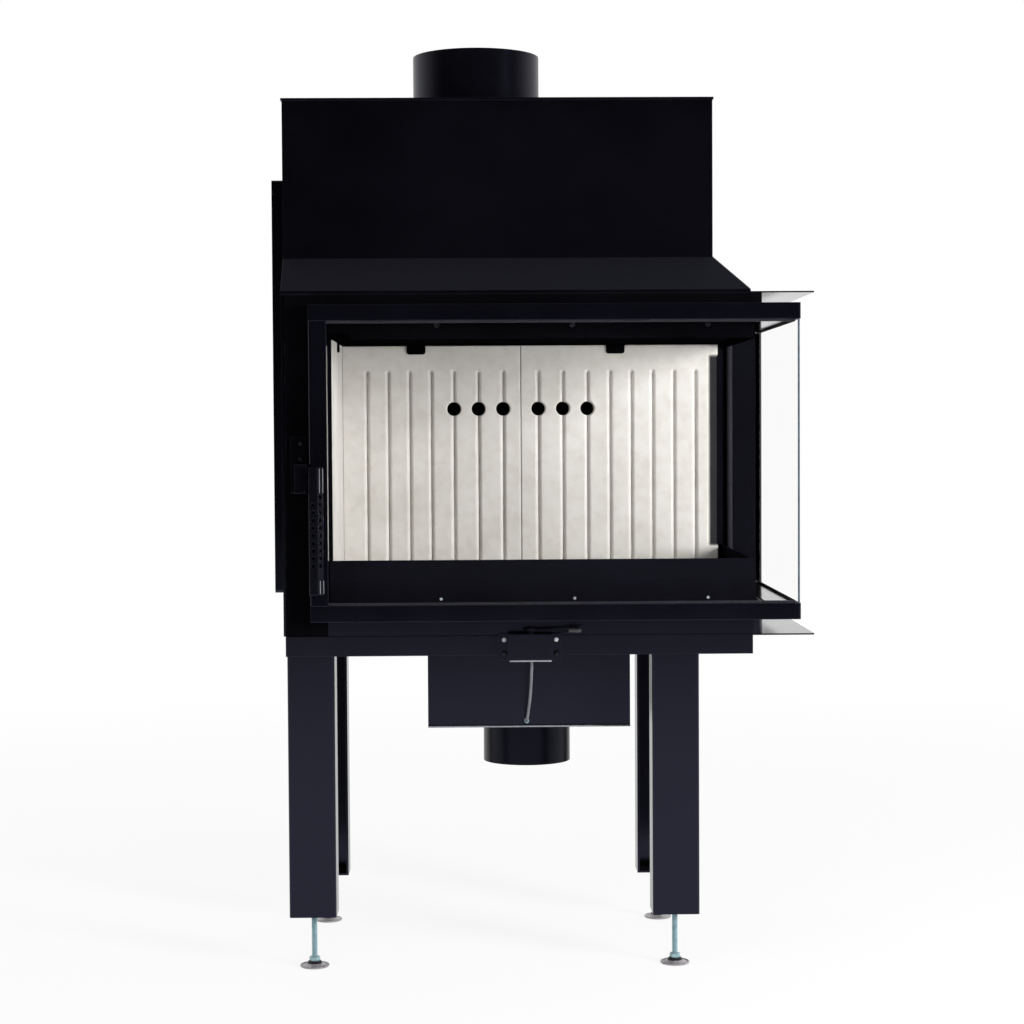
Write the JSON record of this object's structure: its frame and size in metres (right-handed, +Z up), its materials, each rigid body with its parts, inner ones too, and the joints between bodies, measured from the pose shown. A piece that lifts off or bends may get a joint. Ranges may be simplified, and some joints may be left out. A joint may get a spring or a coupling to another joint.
{
  "type": "fireplace insert",
  "caption": "Corner fireplace insert with an L-shaped glass door, ceramic lining, flue collar, outside-air box with damper, and levelling legs.",
  "frame": {"origin": "middle of the bounding box on the floor", "axes": "+X to the right seen from the front, +Y to the back, +Z up"},
  "size_m": [0.73, 0.5, 1.2625],
  "materials": {
    "black_paint": "satin heat-resistant black",
    "fire_brick": "matt cast refractory",
    "fire_glass": "clear ceramic glass",
    "zinc": "zinc plated",
    "black_screw": "black oxide",
    "rope_seal": "braided glass-fibre rope, graphited",
    "cable_sheath": "grey sleeved cable"
  },
  "bodies": {
    "body": {"base_pan": "black_paint", "base_skirt": "black_paint", "firebox_floor": "black_paint", "left_wall": "black_paint", "back_wall": "black_paint", "left_face": "black_paint", "bottom_beam": "black_paint", "top_beam": "black_paint", "rear_right_post": "black_paint", "throat_plate": "black_paint", "hood": "black_paint", "smoke_box": "black_paint", "smoke_box_lid": "black_paint", "flue_collar": "black_paint", "upper_baffle": "black_paint", "lower_baffle": "black_paint", "back_lining_left": "fire_brick", "back_lining_right": "fire_brick", "left_lining": "fire_brick", "floor_lining": "fire_brick", "lining_clips": "black_paint", "brick_supports": "black_paint", "rear_air_duct": "black_paint", "air_wash_deflector": "black_paint", "log_guard": "black_paint", "panel_screws": "black_screw", "side_ledges": "black_paint", "left_heat_shield": "black_paint", "rear_heat_shield": "black_paint", "post_seal": "rope_seal", "hinge_brackets": "black_paint", "hinge_pins": "zinc", "latch_keeper": "black_paint", "intake_box": "black_paint", "air_spigot": "black_paint", "control_housing": "black_paint", "control_screws": "zinc", "control_cable": "cable_sheath", "leg_fasteners": "zinc", "leg_front_left": "black_paint", "leg_front_right": "black_paint", "leg_rear_left": "black_paint", "leg_rear_right": "black_paint"},
    "door": {"door_bottom_rail": "black_paint", "door_top_rail": "black_paint", "door_left_stile": "black_paint", "door_rear_stile": "black_paint", "front_glass": "fire_glass", "side_glass": "fire_glass", "door_seal": "rope_seal", "handle_pivot": "zinc"},
    "handle": {"handle_grip": "black_paint", "handle_hook": "black_paint"},
    "lever": {"air_lever": "black_paint"},
    "flap": {"damper_flap": "zinc", "damper_shaft": "zinc"},
    "levelling_front_left": {"foot_front_left": "zinc"},
    "levelling_front_right": {"foot_front_right": "zinc"},
    "levelling_rear_left": {"foot_rear_left": "zinc"},
    "levelling_rear_right": {"foot_rear_right": "zinc"}
  },
  "joints": [
    {"name": "door_hinge", "type": "hinge", "parent": "body", "child": "door", "pos_m": [0.322, 0.188, 0.68535], "axis": [0, 0, 1], "range_deg": [0, 95]},
    {"name": "handle_pivot", "type": "hinge", "parent": "door", "child": "handle", "pos_m": [-0.301, -0.2307, 0.666], "axis": [0, -1, 0], "range_deg": [0, 75]},
    {"name": "air_lever_pivot", "type": "hinge", "parent": "body", "child": "lever", "pos_m": [-0.018, -0.217, 0.4595], "axis": [0, 0, -1], "range_deg": [0, 120]},
    {"name": "damper_shaft_turn", "type": "hinge", "parent": "body", "child": "flap", "pos_m": [-0.018, 0.026, 0.3375], "axis": [1, 0, 0], "range_deg": [0, 90]},
    {"name": "level_front_left", "type": "slide", "parent": "body", "child": "levelling_front_left", "axis": [0, 0, -1], "range_m": [-0.03, 0.035]},
    {"name": "level_front_right", "type": "slide", "parent": "body", "child": "levelling_front_right", "axis": [0, 0, -1], "range_m": [-0.03, 0.035]},
    {"name": "level_rear_left", "type": "slide", "parent": "body", "child": "levelling_rear_left", "axis": [0, 0, -1], "range_m": [-0.03, 0.035]},
    {"name": "level_rear_right", "type": "slide", "parent": "body", "child": "levelling_rear_right", "axis": [0, 0, -1], "range_m": [-0.03, 0.035]}
  ],
  "couplings": [
    {"joint": "damper_shaft_turn", "follows": "air_lever_pivot", "ratio": 0.75}
  ]
}
